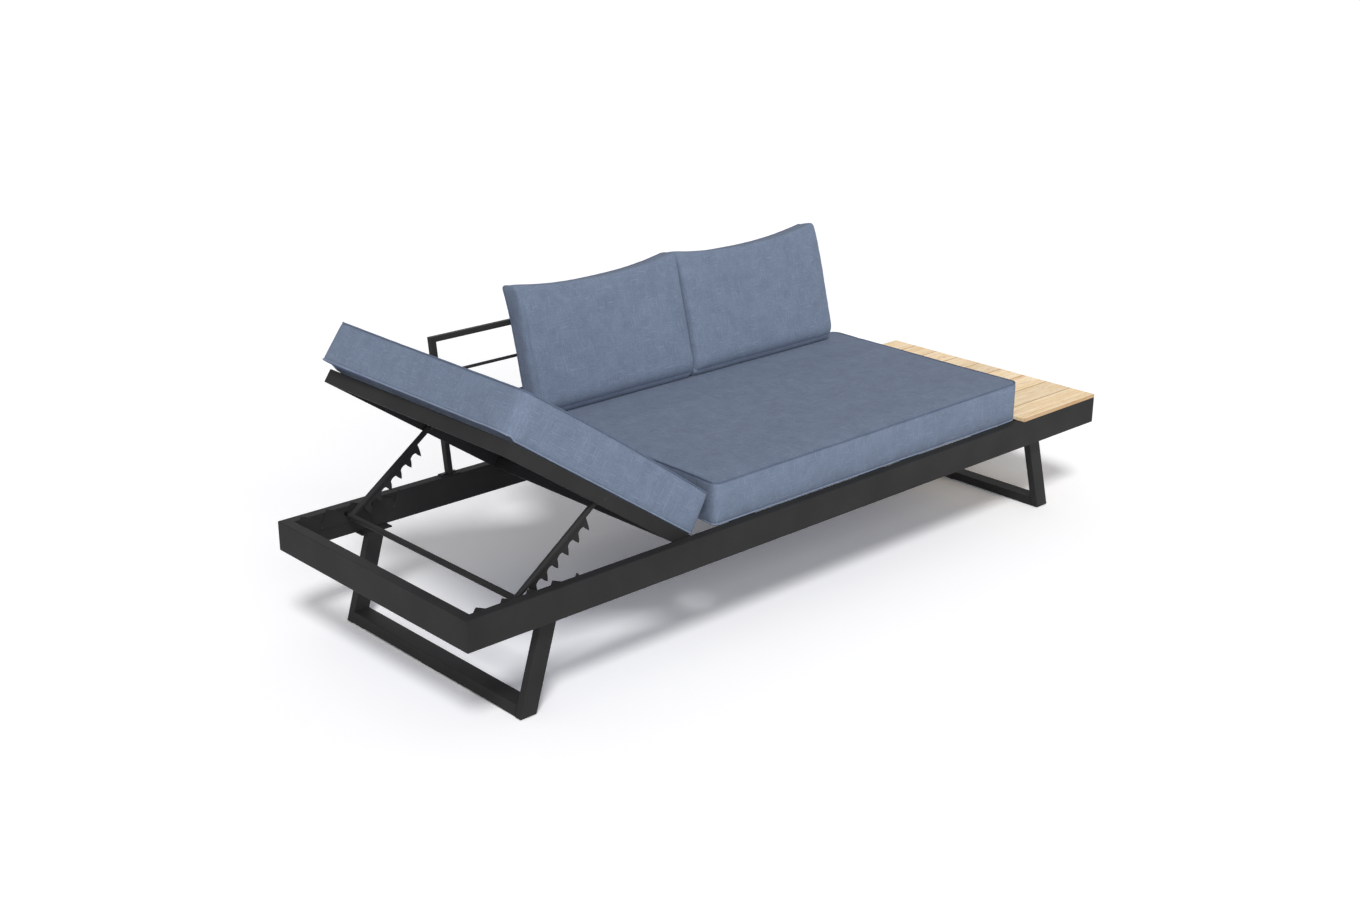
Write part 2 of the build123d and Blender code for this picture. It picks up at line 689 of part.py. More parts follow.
def cushions():
    """The four loose cushions: one on the panel, one on the seat and two at the back."""
    middle = frame_width / 2
    width = inner_rear - inner_front - 2 * seat_cushion_side_room + 2 * cushion_side_swell
    seat = cushion(seat_cushion_end - seat_cushion_start, width, seat_cushion_thickness,
                   seat_cushion_crown)
    length = panel_length + panel_cushion_overhang - panel_cushion_heel_room
    width = inner_rear - inner_front - 2 * panel_cushion_side_room + 2 * cushion_side_swell
    panel = cushion(length, width, panel_cushion_thickness, panel_cushion_crown)
    heel_top = length - panel_cushion_heel_slope
    above = panel_cushion_thickness + panel_cushion_crown + overrun
    heel = polygon([(length, 0), (heel_top, panel_cushion_thickness), (heel_top, above),
                    (length + overrun, above), (length + overrun, 0)])
    tip = polygon([(-overrun, panel_cushion_tip_lift), (0, panel_cushion_tip_lift),
                   (panel_cushion_lift_reach, 0), (panel_cushion_lift_reach, -overrun),
                   (-overrun, -overrun)])
    panel -= side_prism(heel, -width, width) + side_prism(tip, -width, width)
    panel_start = -panel_length - panel_cushion_overhang
    pieces = {
        "seat_cushion": Pos(seat_cushion_start, middle, deck_top + cushion_rest_room) * seat,
        "panel_cushion": panel_place * Pos(panel_start, middle, half_depth + cushion_rest_room) * panel,
    }
    return pieces | back_cushions()


def back_cushions():
    """Two cushions that stand on the seat cushion and lean against the backrest's top rail."""
    lean, tilt = radians(back_cushion_lean), radians(backrest_lean)
    half = backrest_post_depth / 2
    contact_y = backrest_y - half * cos(tilt) + backrest_height * sin(tilt)
    contact_z = rail_top + half * sin(tilt) + backrest_height * cos(tilt)
    bottom = deck_top + seat_cushion_thickness + back_cushion_rise
    drop = (contact_z - bottom) / cos(lean) + back_cushion_thickness * tan(lean) + cushion_roll
    width = drop + back_cushion_top_reach
    first = hinge_x + back_cushion_hinge_room
    length = (table_start - back_cushion_table_room - first - back_cushion_gap) / 2
    shape = cushion(length, width, back_cushion_thickness, back_cushion_crown)
    upright = Pos(0, -cushion_rest_room, back_cushion_top_reach - width / 2) * Rot(90, 0, 0) * shape
    below = block((0, frame_length), (0, frame_width + contact_z), (0, bottom))
    pieces = {}
    for name, start in (("left", first), ("right", first + length + back_cushion_gap)):
        leaning = Pos(start, contact_y, contact_z) * Rot(-back_cushion_lean, 0, 0) * upright
        pieces[f"back_cushion_{name}"] = leaning - below
    return pieces


def all_pieces():
    """Every node of the lounger, by name."""
    pieces = base_rails() | beams() | {"seat_slats": seat_slats()} | table_planks() | legs()
    return pieces | racks() | backrest() | panel_supports() | head_panel() | prop() | cushions()


model = all_pieces()
boxes = [piece.bounding_box() for piece in model.values()]
origin_x = (min(box.min.X for box in boxes) + max(box.max.X for box in boxes)) / 2
origin_y = (min(box.min.Y for box in boxes) + max(box.max.Y for box in boxes)) / 2
os.makedirs("parts", exist_ok=True)
for name, piece in model.items():
    export_step(Pos(-origin_x, -origin_y, 0) * piece, f"parts/{name}.step")

flat_bar_z = hinge_z - fold_drop
print("origin", round(origin_x, 3), round(origin_y, 3))
print("hinge axis", round(hinge_x - origin_x, 3), round(hinge_z, 3))
print("prop pivot", round(prop_pivot[0] - origin_x, 3), round(prop_pivot[2], 3))
print("panel angles", round(panel_angle, 3), round(panel_highest_angle, 3))
print("prop angles", round(prop_angle_at(0, flat_bar_z), 3), round(prop_angle, 3),
      round(prop_angle_at(panel_highest_angle, rack_seat), 3))
print("prop length", round(prop_length, 3))
print("nodes", len(model))
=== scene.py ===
from math import cos, pi, radians, sin

import bpy
import numpy as np
from mathutils import Matrix, Vector, kdtree, noise
from mathutils.bvhtree import BVHTree


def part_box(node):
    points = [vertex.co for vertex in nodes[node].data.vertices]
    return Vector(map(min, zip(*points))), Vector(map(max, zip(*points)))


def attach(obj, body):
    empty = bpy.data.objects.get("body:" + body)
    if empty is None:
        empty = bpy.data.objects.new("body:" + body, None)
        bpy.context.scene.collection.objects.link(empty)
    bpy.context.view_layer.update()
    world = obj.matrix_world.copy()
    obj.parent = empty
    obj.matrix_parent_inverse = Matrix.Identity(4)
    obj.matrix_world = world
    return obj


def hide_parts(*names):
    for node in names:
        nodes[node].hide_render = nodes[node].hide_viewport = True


# Sun lounger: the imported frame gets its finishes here, and its four cushions are sewn and stuffed.
# Lengths are in metres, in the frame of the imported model.
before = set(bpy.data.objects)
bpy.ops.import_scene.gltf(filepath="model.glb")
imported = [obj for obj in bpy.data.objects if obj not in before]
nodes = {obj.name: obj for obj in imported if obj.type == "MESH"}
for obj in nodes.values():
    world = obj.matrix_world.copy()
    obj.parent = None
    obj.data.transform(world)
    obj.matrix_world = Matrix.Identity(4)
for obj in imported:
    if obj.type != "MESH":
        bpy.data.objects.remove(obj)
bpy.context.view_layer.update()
mm = 0.001

# Places that the cushions share with the metal frame
middle_y = -0.02592
seat_deck = 0.317
hinge = Vector((-0.4805, middle_y, 0.295))
panel_lean = radians(34.504)
panel_half_depth = 18 * mm
back_contact = Vector((0, 0.40455, 0.69639))
back_lean = radians(15)
seat_top_under_backs = 0.4355
head_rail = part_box("head_rail")[1]
plank_low, plank_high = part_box("table_plank_1")
next_plank_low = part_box("table_plank_2")[0]
clearance = 0.4 * mm

# How the covers are made: the cloth's mesh, the steps of the stuffing, and the piping's cord
cloth_voxel = 7 * mm
stuffing_frames = 16
cord_thickness = 4.5 * mm
# Where a seam runs on its rolled edge: shares of the roll's radius from the side and the face
seam_places = {"high": (0.29, 0.29), "low": (0.1, 0.6)}


# Colours and nodes
def linear(code):
    """The linear colour of an sRGB hex value."""
    parts = [int(code[start:start + 2], 16) / 255 for start in (0, 2, 4)]
    return [part / 12.92 if part <= 0.04045 else ((part + 0.055) / 1.055) ** 2.4
            for part in parts] + [1]


def add_node(tree, kind, sockets=(), stops=(), **settings):
    """Adds a node with its properties, its sockets' values or links, and a ramp's sRGB stops."""
    node = tree.nodes.new("ShaderNode" + kind)
    for name, value in settings.items():
        setattr(node, name, value)
    for key, value in dict(sockets).items():
        if isinstance(value, bpy.types.NodeSocket):
            tree.links.new(value, node.inputs[key])
        else:
            node.inputs[key].default_value = value
    while stops and len(node.color_ramp.elements) < len(stops):
        node.color_ramp.elements.new(1.0)
    for number, (place, code) in enumerate(stops):
        node.color_ramp.elements[number].position = place
        node.color_ramp.elements[number].color = linear(code)
    return node


def new_material(name):
    """An empty material and its node tree."""
    material = bpy.data.materials.new(name)
    material.use_nodes = True
    material.node_tree.nodes.clear()
    return material, material.node_tree


def finish_material(tree, surface, height, depth, strength):
    """Ends a material in its surface, with a bump of that height pattern and depth in metres."""
    bump = add_node(tree, "Bump", {"Height": height, "Distance": depth, "Strength": strength})
    tree.links.new(bump.outputs["Normal"], surface.inputs["Normal"])
    add_node(tree, "OutputMaterial", {"Surface": surface.outputs["BSDF"]})


def seen_directly(tree):
    """1 for what the camera sees by itself, in a reflection or through a clear piece, else 0."""
    path = add_node(tree, "LightPath").outputs
    mirrored = add_node(tree, "Math", {
        0: path["Is Camera Ray"], 1: path["Is Glossy Ray"]}, operation="MAXIMUM").outputs[0]
    return add_node(tree, "Math", {
        0: mirrored, 1: path["Is Transmission Ray"]}, operation="MAXIMUM").outputs[0]


def woven_olefin(name, turn, tones=("606A7C", "687488", "707C90", "8490A2")):
    """Solution-dyed olefin in a plain weave: matt and heathered, with short paler slubs.

    The cloth of a tilted cushion turns with it. Its real threads lie 0.6 mm apart, too fine to
    show, so they are drawn 2.4 mm thick, and the slubs 3 mm thick. The flat underside has a
    bluer backing cloth.
    """
    material, tree = new_material(name)
    place = add_node(tree, "TexCoord")
    cloth = add_node(tree, "Mapping", {"Vector": place.outputs["Object"], "Rotation": turn},
                     vector_type="TEXTURE").outputs["Vector"]
    thread_length, thread_width, slub_length, slub_width = 18 * mm, 2.4 * mm, 36 * mm, 3 * mm
    threads, slubs = None, None
    for run in range(3):
        thread = [1 / (thread_length if axis == run else thread_width) for axis in range(3)]
        drawn = add_node(tree, "Mapping", {"Vector": cloth, "Scale": thread})
        yarn = add_node(tree, "TexNoise", {
            "Vector": drawn.outputs["Vector"], "Scale": 1.0, "Detail": 1.0}).outputs["Fac"]
        threads = yarn if threads is None else add_node(
            tree, "Math", {0: threads, 1: yarn}, operation="ADD").outputs[0]
        thick = [1 / (slub_length if axis == run else slub_width) for axis in range(3)]
        drawn = add_node(tree, "Mapping", {"Vector": cloth, "Scale": thick})
        knot = add_node(tree, "TexNoise", {
            "Vector": drawn.outputs["Vector"], "Scale": 1.0, "Detail": 0.0}).outputs["Fac"]
        streak = add_node(tree, "MapRange", {
            "Value": knot, "From Min": 0.66, "From Max": 0.8}).outputs[0]
        slubs = streak if slubs is None else add_node(
            tree, "Math", {0: slubs, 1: streak}, operation="MAXIMUM").outputs[0]
    heather = add_node(tree, "MapRange", {
        "Value": threads, "From Min": 1.1, "From Max": 1.9}).outputs[0]
    blotch = add_node(tree, "TexNoise", {
        "Vector": cloth, "Scale": 1 / (38 * mm), "Detail": 2.0}).outputs["Fac"]
    tone = add_node(tree, "Math", {0: heather, 1: 0.3}, operation="MULTIPLY").outputs[0]
    mottled = add_node(tree, "Math", {
        0: blotch, 1: 0.55, 2: tone}, operation="MULTIPLY_ADD").outputs[0]
    yarn = add_node(tree, "ValToRGB", {"Fac": mottled}, (
        (0.15, tones[0]), (0.425, tones[1]), (0.7, tones[2]))).outputs["Color"]
    colour = add_node(tree, "Mix", {
        "Factor": add_node(tree, "Math", {0: slubs, 1: 0.35}, operation="MULTIPLY").outputs[0],
        "A": yarn, "B": linear(tones[3])}, data_type="RGBA").outputs["Result"]
    facing = add_node(tree, "Mapping", {
        "Vector": place.outputs["Normal"], "Rotation": turn}, vector_type="TEXTURE")
    faces_up = add_node(tree, "SeparateXYZ", {"Vector": facing.outputs["Vector"]}).outputs["Z"]
    under = add_node(tree, "MapRange", {
        "Value": faces_up, "From Min": -0.95, "From Max": -0.99}).outputs[0]
    colour = add_node(tree, "Mix", {"Factor": under, "A": colour, "B": linear("5C6C98")},
                      data_type="RGBA").outputs["Result"]
    height = add_node(tree, "Math", {
        0: slubs, 1: 0.6, 2: heather}, operation="MULTIPLY_ADD").outputs[0]
    surface = add_node(tree, "BsdfPrincipled", {
        "Base Color": colour, "Roughness": 0.95, "Specular IOR Level": 0.15,
        "Sheen Weight": 0.04, "Sheen Roughness": 0.55})
    finish_material(tree, surface, height, 0.35 * mm, 0.5)
    return material


def powder_coat(name):
    """Anthracite powder coat on steel tube: a fine orange peel of 1.5 mm grains, half matt."""
    material, tree = new_material(name)
    place = add_node(tree, "TexCoord").outputs["Object"]
    peel = add_node(tree, "TexNoise", {
        "Vector": place, "Scale": 1 / (1.5 * mm), "Detail": 1.0}).outputs["Fac"]
    cloud = add_node(tree, "TexNoise", {"Vector": place, "Scale": 1 / (140 * mm)}).outputs["Fac"]
    colour = add_node(tree, "ValToRGB", {"Fac": cloud}, (
        (0.3, "252525"), (0.7, "2C2C2C"))).outputs["Color"]
    gloss = add_node(tree, "MapRange", {
        "Value": peel, "From Min": 0.3, "From Max": 0.7, "To Min": 0.52, "To Max": 0.64}).outputs[0]
    surface = add_node(tree, "BsdfPrincipled", {
        "Base Color": colour, "Roughness": gloss, "IOR": 1.5, "Specular IOR Level": 0.1})
    finish_material(tree, surface, peel, 0.06 * mm, 0.5)
    return material


def oiled_teak(name, pitch, start):
    """Oiled light teak: straight grain along X, brown patches, fine pores and a few knots.

    Each board is a different cut: its number, from the pitch of the boards across Y, shifts the
    grain along it and sets its tone. Its long edges are darker.
    """
    material, tree = new_material(name)
    place = add_node(tree, "TexCoord").outputs["Object"]
    across = add_node(tree, "SeparateXYZ", {"Vector": place}).outputs["Y"]
    boards = add_node(tree, "Math", {
        0: add_node(tree, "Math", {0: across, 1: -start}, operation="ADD").outputs[0],
        1: pitch}, operation="DIVIDE").outputs[0]
    board = add_node(tree, "Math", {0: boards}, operation="FLOOR").outputs[0]
    cut = add_node(tree, "TexWhiteNoise", {"W": board}, noise_dimensions="1D")
    shift = add_node(tree, "VectorMath", {0: cut.outputs["Color"], "Scale": 7.0}, operation="SCALE")
    timber = add_node(tree, "VectorMath", {0: place, 1: shift.outputs["Vector"]}).outputs["Vector"]
    patterns = {}
    for pattern, sizes, detail, roughness, distortion in (
            ("figure", (420 * mm, 24 * mm, 60 * mm), 5.0, 0.58, 0.9),
            ("lines", (260 * mm, 3.2 * mm, 20 * mm), 3.0, 0.6, 0.3),
            ("patches", (150 * mm, 26 * mm, 40 * mm), 3.0, 0.6, 0.8),
            ("pores", (22 * mm, 1.6 * mm, 4 * mm), 0.0, 0.5, 0.0)):
        patterns[pattern] = add_node(tree, "TexNoise", {
            "Vector": add_node(tree, "Mapping", {
                "Vector": timber, "Scale": [1 / size for size in sizes]}).outputs["Vector"],
            "Scale": 1.0, "Detail": detail, "Roughness": roughness,
            "Distortion": distortion}).outputs["Fac"]
    figure = add_node(tree, "Math", {
        0: patterns["figure"], 1: 0.6}, operation="MULTIPLY").outputs[0]
    mixed = add_node(tree, "Math", {
        0: patterns["lines"], 1: 0.4, 2: figure}, operation="MULTIPLY_ADD").outputs[0]
    wood = add_node(tree, "ValToRGB", {"Fac": mixed}, (
        (0.3, "E4BE8A"), (0.43, "F2D4A6"), (0.55, "FBE6C4"), (0.7, "FFF1DA"))).outputs["Color"]
    brown = add_node(tree, "MapRange", {
        "Value": patterns["patches"], "From Min": 0.56, "From Max": 0.72, "To Min": 0.0,
        "To Max": 0.6}).outputs[0]
    wood = add_node(tree, "Mix", {"Factor": brown, "A": wood, "B": linear("CFA077")},
                    data_type="RGBA").outputs["Result"]
    fleck = add_node(tree, "MapRange", {
        "Value": patterns["pores"], "From Min": 0.62, "From Max": 0.72, "To Min": 0.0,
        "To Max": 0.4}).outputs[0]
    wood = add_node(tree, "Mix", {"Factor": fleck, "A": wood, "B": linear("BE9363")},
                    data_type="RGBA").outputs["Result"]
    knots_along, knots_across = 260 * mm, 95 * mm
    stretched = add_node(tree, "Mapping", {
        "Vector": timber,
        "Scale": (1 / knots_along, 1 / knots_across, 1 / knots_across)}).outputs["Vector"]
    swirl = add_node(tree, "TexNoise", {"Vector": stretched, "Scale": 3.0, "Detail": 1.0})
    swirl = add_node(tree, "VectorMath", {
        0: swirl.outputs["Color"], "Scale": 0.16}, operation="SCALE").outputs["Vector"]
    bent = add_node(tree, "VectorMath", {0: stretched, 1: swirl}).outputs["Vector"]
    spots = add_node(tree, "TexVoronoi", {"Vector": bent, "Scale": 1.0}).outputs["Distance"]
    knot = add_node(tree, "MapRange", {
        "Value": spots, "From Min": 0.05, "From Max": 0.16,
        "To Min": 0.75, "To Max": 0.0}).outputs[0]
    wood = add_node(tree, "Mix", {"Factor": knot, "A": wood, "B": linear("9A6A3C")},
                    data_type="RGBA").outputs["Result"]
    side = add_node(tree, "Math", {0: boards}, operation="FRACT").outputs[0]
    from_middle = add_node(tree, "Math", {
        0: add_node(tree, "Math", {0: side, 1: -0.5}, operation="ADD").outputs[0]},
        operation="ABSOLUTE").outputs[0]
    edge = add_node(tree, "MapRange", {
        "Value": from_middle, "From Min": 0.5 - 3.5 * mm / pitch,
        "From Max": 0.5 - 1.0 * mm / pitch, "To Min": 0.0, "To Max": 0.75}).outputs[0]
    wood = add_node(tree, "Mix", {"Factor": edge, "A": wood, "B": linear("9C7448")},
                    data_type="RGBA").outputs["Result"]
    tone = add_node(tree, "MapRange", {
        "Value": cut.outputs["Value"], "To Min": 0.9, "To Max": 1.04}).outputs[0]
    toned = add_node(tree, "VectorMath", {0: wood, "Scale": tone}, operation="SCALE")
    surface = add_node(tree, "BsdfPrincipled", {
        "Base Color": toned.outputs["Vector"], "Roughness": 0.55, "IOR": 1.5,
        "Specular IOR Level": 0.35})
    grooves = add_node(tree, "Math", {
        0: patterns["lines"], 1: fleck}, operation="SUBTRACT").outputs[0]
    finish_material(tree, surface, grooves, 0.25 * mm, 0.6)
    return material


def moulded_plastic(name, code):
    """Moulded polyamide: even and half matt, with a faint spark-eroded texture of 0.8 mm."""
    material, tree = new_material(name)
    place = add_node(tree, "TexCoord").outputs["Object"]
    texture = add_node(tree, "TexNoise", {
        "Vector": place, "Scale": 1 / (0.8 * mm), "Detail": 1.0}).outputs["Fac"]
    cloud = add_node(tree, "TexNoise", {"Vector": place, "Scale": 1 / (30 * mm)}).outputs["Fac"]
    colour = add_node(tree, "ValToRGB", {"Fac": cloud}, (
        (0.3, code), (0.7, "26272A"))).outputs["Color"]
    surface = add_node(tree, "BsdfPrincipled", {
        "Base Color": colour, "Roughness": 0.48, "IOR": 1.53, "Specular IOR Level": 0.5})
    finish_material(tree, surface, texture, 0.06 * mm, 0.5)
    return material


def black_zinc(name):
    """Black zinc plate on steel fasteners: a thin dark film, a little cloudy, over bright metal."""
    material, tree = new_material(name)
    place = add_node(tree, "TexCoord").outputs["Object"]
    cloud = add_node(tree, "TexNoise", {
        "Vector": place, "Scale": 1 / (6 * mm), "Detail": 3.0}).outputs["Fac"]
    colour = add_node(tree, "ValToRGB", {"Fac": cloud}, (
        (0.3, "2B2B2D"), (0.7, "454548"))).outputs["Color"]
    gloss = add_node(tree, "MapRange", {
        "Value": cloud, "From Min": 0.3, "From Max": 0.7, "To Min": 0.3, "To Max": 0.45}).outputs[0]
    surface = add_node(tree, "BsdfPrincipled", {
        "Base Color": colour, "Metallic": 1.0, "Roughness": gloss})
    finish_material(tree, surface, cloud, 0.05 * mm, 0.4)
    return material


# Cushions: a sewn shell is laid out flat, stuffed, pressed against what it touches and piped
def seam_loop(half_length, half_width, radii):
    """A rounded rectangle's points, the same number of them for every size.

    The radii start at the corner of the highest X and the lowest Y, and go round with the points.
    """
    points = []
    turns, long_side, short_side = 10, 44, 32
    corners = ((1, -1), (1, 1), (-1, 1), (-1, -1))
    centres = [Vector((x * (half_length - radius), y * (half_width - radius)))
               for (x, y), radius in zip(corners, radii)]
    for number, centre in enumerate(centres):
        start = (number - 1) * pi / 2
        arc = [centre + radii[number] * Vector((cos(start + step * pi / 2 / turns),
                                                sin(start + step * pi / 2 / turns)))
               for step in range(turns + 1)]
        after = (number + 1) % 4
        start += pi / 2
        next_point = centres[after] + radii[after] * Vector((cos(start), sin(start)))
        count = short_side if number % 2 == 0 else long_side
        points += arc + [arc[-1].lerp(next_point, step / count) for step in range(1, count)]
    return points


def sewn_shell(name, size, radii, rolls):
    """The flat shell of a boxed cushion, from 0 up, remeshed to an even cloth."""
    length, width, thickness = size
    low_roll, high_roll = rolls
    half = width / 2
    turns, wall_steps, sharpest = 5, 6, 0.3 * mm
    profile = [(half * share, 0.0) for share in (0.97, 0.75, 0.5, 0.25)]
    for step in range(turns + 1):
        turn = step * pi / 2 / turns
        profile.append((low_roll * (1 - sin(turn)), low_roll * (1 - cos(turn))))
    wall = thickness - low_roll - high_roll
    profile += [(0.0, low_roll + wall * step / wall_steps) for step in range(1, wall_steps)]
    for step in range(turns + 1):
        turn = step * pi / 2 / turns
        profile.append((high_roll * (1 - cos(turn)), thickness - high_roll * (1 - sin(turn))))
    profile += [(half * share, thickness) for share in (0.25, 0.5, 0.75, 0.97)]
    verts, faces = [], []
    for inset, height in profile:
        loop = seam_loop(length / 2 - inset, half - inset,
                         [max(radius - inset, sharpest) for radius in radii])
        verts += [(point.x, point.y, height) for point in loop]
    count = len(verts) // len(profile)
    for ring in range(len(profile) - 1):
        for step in range(count):
            after = (step + 1) % count
            faces.append((ring * count + step, ring * count + after,
                          (ring + 1) * count + after, (ring + 1) * count + step))
    faces.append(tuple(reversed(range(count))))
    faces.append(tuple(range(len(verts) - count, len(verts))))
    mesh = bpy.data.meshes.new(name)
    mesh.from_pydata(verts, [], faces)
    shell = bpy.data.objects.new(name, mesh)
    bpy.context.scene.collection.objects.link(shell)
    remesh = shell.modifiers.new("even cloth", "REMESH")
    remesh.mode = "VOXEL"
    remesh.voxel_size = cloth_voxel
    remesh.use_smooth_shade = True
    graph = bpy.context.evaluated_depsgraph_get()
    even = bpy.data.meshes.new_from_object(shell.evaluated_get(graph))
    shell.modifiers.clear()
    shell.data = even
    return shell


def points_of(piece):
    """The piece's vertices as an array."""
    flat = np.empty(len(piece.data.vertices) * 3)
    piece.data.vertices.foreach_get("co", flat)
    return flat.reshape(-1, 3)


def move_points(piece, points):
    """Puts the piece's vertices at these points."""
    piece.data.vertices.foreach_set("co", points.ravel())
    piece.data.update()


def distances_to(path, points):
    """How far each point is from the nearest point of a path, and that point's number."""
    tree = kdtree.KDTree(len(path))
    for number, point in enumerate(path):
        tree.insert(point, number)
    tree.balance()
    found = [tree.find(point) for point in points]
    return np.array([near[2] for near in found]), np.array([near[1] for near in found])


def lay_out(cushion):
    """Makes one cushion's shell and its seam lines, pulled in between the corners."""
    shell = sewn_shell(cushion["name"], cushion["size"], cushion["corners"], cushion["rolls"])
    length, width, thickness = cushion["size"]
    seams = []
    for side in cushion["seams"]:
        roll = cushion["rolls"][("low", "high").index(side)]
        inset, from_face = (roll * share for share in seam_places[side])
        height = thickness - from_face if side == "high" else from_face
        loop = seam_loop(length / 2 - inset, width / 2 - inset, cushion["corners"])
        seams.append(cushion["draw_in"](np.array([(p.x, p.y, height) for p in loop])))
    move_points(shell, cushion["draw_in"](points_of(shell)))
    cushion["piece"], cushion["seam_lines"] = shell, seams


def start_stuffing(cushion):
    """Sews the seams down and puts the cover under pressure."""
    shell = cushion["piece"]
    points = points_of(shell)
    held = shell.vertex_groups.new(name="seams")
    far = np.full(len(points), 1.0)
    for line in cushion["seam_lines"]:
        far = np.minimum(far, distances_to(line, points)[0])
    sewn, slack = 5 * mm, 12 * mm
    weights = np.clip(1 - (far - sewn) / slack, 0, 1)
    for number in np.nonzero(weights > 0.01)[0]:
        held.add([int(number)], float(weights[number]), "REPLACE")
    cloth = shell.modifiers.new("stuffing", "CLOTH")
    settings = cloth.settings
    settings.quality = 4
    settings.mass = 0.3
    settings.tension_stiffness = settings.compression_stiffness = 12
    settings.bending_stiffness = 0.8
    settings.use_pressure = True
    settings.uniform_pressure_force = 4
    settings.vertex_group_mass = "seams"
    settings.effector_weights.gravity = 0
    cloth.collision_settings.use_collision = False
    cloth.point_cache.frame_start, cloth.point_cache.frame_end = 1, stuffing_frames


def end_stuffing(cushion):
    """Keeps the shape under pressure, with no point further out than the foam lets it go."""
    shell = cushion["piece"]
    before = points_of(shell)
    graph = bpy.context.evaluated_depsgraph_get()
    stuffed = shell.evaluated_get(graph)
    flat = np.empty(before.size)
    stuffed.data.vertices.foreach_get("co", flat)
    move = flat.reshape(-1, 3) - before
    size = np.linalg.norm(move, axis=1)[:, None] + 1e-9
    move *= cushion["swell"] / size * np.tanh(size / cushion["swell"])
    shell.modifiers.clear()
    shell.vertex_groups.clear()
    move_points(shell, before + move)


def gather_seams(cushion):
    """Small puckers where the cover is sewn, and slow waves over the faces."""
    shell = cushion["piece"]
    points = points_of(shell)
    normals = np.empty(points.size)
    shell.data.vertex_normals.foreach_get("vector", normals)
    normals = normals.reshape(-1, 3)
    push = np.zeros(len(points))
    pucker, drift, depth, from_seam, spread = 31 * mm, 173 * mm, 0.7 * mm, 12 * mm, 11 * mm
    for line in cushion["seam_lines"]:
        far, number = distances_to(line, points)
        steps = np.linalg.norm(np.roll(line, -1, 0) - line, axis=1)
        run = np.concatenate(([0], np.cumsum(steps)[:-1]))[number]
        wave = np.sin(2 * pi * run / pucker + 2.2 * np.sin(2 * pi * run / drift))
        push -= depth * (0.5 + 0.5 * wave) * np.exp(-((far - from_seam) / spread) ** 2)
    offset = Vector(cushion["seed"])
    for number, point in enumerate(points):
        for rise, length in ((1.3 * mm, 160 * mm), (0.45 * mm, 45 * mm)):
            push[number] += rise * noise.noise((Vector(point) + offset) / length)
    move_points(shell, points + normals * push[:, None])


def piping(name, loop, thickness, material):
    """A corded edge: a round cord in cloth, sewn along a loop."""
    cord = bpy.data.curves.new(name, "CURVE")
    cord.dimensions = "3D"
    cord.bevel_depth = thickness / 2
    cord.bevel_resolution = 2
    spline = cord.splines.new("POLY")
    spline.points.add(len(loop) - 1)
    spline.points.foreach_set("co", [value for point in loop for value in (*point, 1)])
    spline.use_cyclic_u = True
    drawn = bpy.data.objects.new(name + "_line", cord)
    bpy.context.scene.collection.objects.link(drawn)
    graph = bpy.context.evaluated_depsgraph_get()
    mesh = bpy.data.meshes.new_from_object(drawn.evaluated_get(graph))
    bpy.data.objects.remove(drawn)
    mesh.name = name
    mesh.polygons.foreach_set("use_smooth", [True] * len(mesh.polygons))
    piece = bpy.data.objects.new(name, mesh)
    bpy.context.scene.collection.objects.link(piece)
    piece.data.materials.append(material)
    return piece


def finish_cushion(cushion):
    """Crowns and presses the cover, sets it in its place, and adds its piping and its cloth."""
    shell = cushion["piece"]
    gather_seams(cushion)
    place = np.array(cushion["place"])

    def set_in_place(points):
        shaped = cushion["press"](points) @ place[:3, :3].T + place[:3, 3]
        return cushion["rest"](shaped)

    move_points(shell, set_in_place(points_of(shell)))
    smooth = shell.modifiers.new("fine cloth", "SUBSURF")
    smooth.levels = smooth.render_levels = 1
    shell.data.polygons.foreach_set("use_smooth", [True] * len(shell.data.polygons))
    shell.data.materials.clear()
    shell.data.materials.append(cushion["cloth"])
    surface = BVHTree.FromPolygons([v.co.copy() for v in shell.data.vertices],
                                   [tuple(p.vertices) for p in shell.data.polygons])
    pieces = [shell]
    stands_out = 0.6 * mm
    for seam, cloth in cushion["piped"].items():
        loop = []
        for point in set_in_place(cushion["seam_lines"][cushion["seams"].index(seam)]):
            found = surface.find_nearest(Vector(point))
            loop.append(found[0] + found[1] * stands_out)
        name = cushion["name"].replace("cover", "piping") + "_" + seam
        pieces.append(piping(name, loop, cord_thickness, cloth))
    for piece in pieces:
        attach(piece, cushion["body"])
        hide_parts(cushion["node"])


def pulled_in(half_length, half_width, ends, front, back):
    """Draws the ends and the two long sides in between the corners, by these lengths."""
    def draw(points):
        across, along = points[:, 1] / half_width, points[:, 0] / half_length
        sides = np.where(across > 0, back, front)
        moved = points.copy()
        moved[:, 1] -= sides * across * (1 - np.clip(along, -1, 1) ** 2)
        moved[:, 0] -= ends * along * (1 - np.clip(across, -1, 1) ** 2)
        return moved
    return draw


def eased(share):
    """A share held between 0 and 1 that starts and ends softly."""
    share = np.clip(share, 0, 1)
    return share ** 2 * (3 - 2 * share)


def rounded_over(side, front, radius):
    """Rounds the edge between two faces over: takes and gives the depths below both of them."""
    side, front = 1 - side / radius, 1 - front / radius
    share = np.maximum(side, front) / np.maximum(np.hypot(side, front), 1e-6)
    share = np.where(np.minimum(side, front) > 0, share, 1)
    return radius * (1 - side * share), radius * (1 - front * share)


